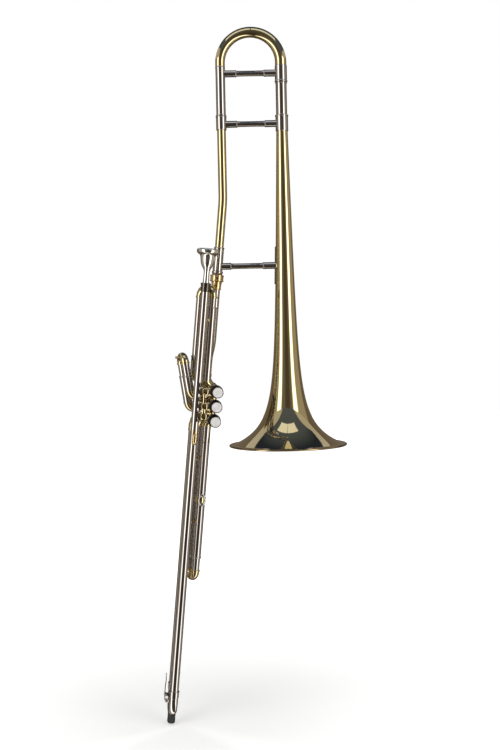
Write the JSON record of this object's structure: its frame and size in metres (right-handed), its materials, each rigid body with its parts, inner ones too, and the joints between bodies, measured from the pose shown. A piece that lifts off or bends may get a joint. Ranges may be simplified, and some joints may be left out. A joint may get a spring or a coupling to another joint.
{
  "type": "valve trombone",
  "caption": "Tenor valve trombone: flared bell and tuning slide locked to a long valve section with finger pistons, pull slides, water keys and a mouthpiece.",
  "frame": {"origin": "centre of the bell mouth, in the plane of the rim", "axes": "+Z along the bell axis towards the tuning slide, +X away from the valve section, -Y the side of the finger buttons"},
  "size_m": [0.3223, 0.2151, 1.1859],
  "materials": {
    "lacquered_brass": "polished lacquer",
    "gold_brass": "polished lacquer",
    "nickel": "polished",
    "silver": "polished",
    "spring_steel": "satin",
    "button_pearl": "gloss",
    "rubber": "matt"
  },
  "bodies": {
    "bell_section": {"bell": "lacquered_brass", "tuning_receiver": "nickel", "tuning_tenon": "nickel", "middle_brace": "nickel", "lower_brace": "nickel", "neckpipe": "lacquered_brass", "bell_socket": "nickel"},
    "tuning_slide": {"tuning_crook": "lacquered_brass", "tuning_brace": "nickel"},
    "valve_section": {"neck_tenon": "gold_brass", "mouthpiece_receiver": "nickel", "lead_tube": "nickel", "return_tube": "nickel", "return_elbow": "lacquered_brass", "bottom_bow": "nickel", "bow_bumper": "rubber", "outlet_tube": "nickel", "crossover_2_to_1": "lacquered_brass", "crossover_3_to_2": "lacquered_brass", "first_sleeve_left": "nickel", "first_sleeve_right": "nickel", "second_sleeve_deep": "lacquered_brass", "second_sleeve_near": "lacquered_brass", "third_sleeve_deep": "nickel", "third_sleeve_near": "nickel", "lead_post": "lacquered_brass", "outlet_post": "lacquered_brass", "ring_band": "lacquered_brass", "finger_hook": "lacquered_brass", "valve_casing_1": "nickel", "valve_casing_2": "nickel", "valve_casing_3": "nickel", "top_cap_1": "nickel", "top_cap_2": "nickel", "top_cap_3": "nickel", "bottom_cap_1": "nickel", "bottom_cap_2": "nickel", "bottom_cap_3": "nickel", "valve_guide_1": "lacquered_brass", "valve_guide_2": "lacquered_brass", "valve_guide_3": "lacquered_brass", "valve_spring_1": "spring_steel", "valve_spring_2": "spring_steel", "valve_spring_3": "spring_steel"},
    "lock_nut": {"lock_nut": "gold_brass"},
    "mouthpiece": {"mouthpiece": "silver"},
    "first_slide": {"first_slide": "lacquered_brass"},
    "second_slide": {"second_slide": "lacquered_brass"},
    "third_slide": {"third_slide": "lacquered_brass"},
    "bow_water_key": {"bow_water_key": "nickel"},
    "third_water_key": {"third_water_key": "nickel"},
    "piston_1": {"piston_1": "nickel", "valve_stem_1": "nickel", "valve_button_1": "button_pearl"},
    "piston_2": {"piston_2": "nickel", "valve_stem_2": "nickel", "valve_button_2": "button_pearl"},
    "piston_3": {"piston_3": "nickel", "valve_stem_3": "nickel", "valve_button_3": "button_pearl"}
  },
  "joints": [
    {"name": "valve_section_turn", "type": "hinge", "parent": "bell_section", "child": "valve_section", "pos_m": [-0.1113, 0, 0.3426], "axis": [0.0993, 0, 0.9951], "range_deg": [-30, 30]},
    {"name": "lock_nut_turn", "type": "hinge", "parent": "valve_section", "child": "lock_nut", "pos_m": [-0.11627, 0, 0.29285], "axis": [0.0993, 0, 0.9951], "continuous": true},
    {"name": "tuning_slide_pull", "type": "slide", "parent": "bell_section", "child": "tuning_slide", "axis": [0, 0, 1], "range_m": [0, 0.055]},
    {"name": "mouthpiece_lift", "type": "slide", "parent": "valve_section", "child": "mouthpiece", "axis": [0.0993, 0, 0.9951], "range_m": [0, 0.025]},
    {"name": "first_slide_pull", "type": "slide", "parent": "valve_section", "child": "first_slide", "axis": [0.0993, 0, 0.9951], "range_m": [0, 0.022]},
    {"name": "second_slide_pull", "type": "slide", "parent": "valve_section", "child": "second_slide", "axis": [-0.143, -0.0253, 0.9894], "range_m": [0, 0.018]},
    {"name": "third_slide_pull", "type": "slide", "parent": "valve_section", "child": "third_slide", "axis": [-0.0993, 0, -0.9951], "range_m": [0, 0.12]},
    {"name": "bow_water_key_press", "type": "hinge", "parent": "valve_section", "child": "bow_water_key", "pos_m": [-0.21729, -0.04946, -0.41221], "axis": [-0.104, 0.9945, 0.0104], "range_deg": [0, 12], "stiffness_Nm_per_rad": 0.1, "springref_deg": -11.46},
    {"name": "third_water_key_press", "type": "hinge", "parent": "third_slide", "child": "third_water_key", "pos_m": [-0.18395, -0.02488, -0.1944], "axis": [-0.5319, 0.8452, 0.0531], "range_deg": [0, 8], "stiffness_Nm_per_rad": 0.1, "springref_deg": -11.46},
    {"name": "piston_1_press", "type": "slide", "parent": "valve_section", "child": "piston_1", "axis": [-0.104, 0.9945, 0.0104], "range_m": [0, 0.016], "stiffness_N_per_m": 150, "springref_m": -0.012, "deforming": ["valve_spring_1"]},
    {"name": "piston_2_press", "type": "slide", "parent": "valve_section", "child": "piston_2", "axis": [-0.104, 0.9945, 0.0104], "range_m": [0, 0.016], "stiffness_N_per_m": 150, "springref_m": -0.012, "deforming": ["valve_spring_2"]},
    {"name": "piston_3_press", "type": "slide", "parent": "valve_section", "child": "piston_3", "axis": [-0.104, 0.9945, 0.0104], "range_m": [0, 0.016], "stiffness_N_per_m": 150, "springref_m": -0.012, "deforming": ["valve_spring_3"]}
  ]
}
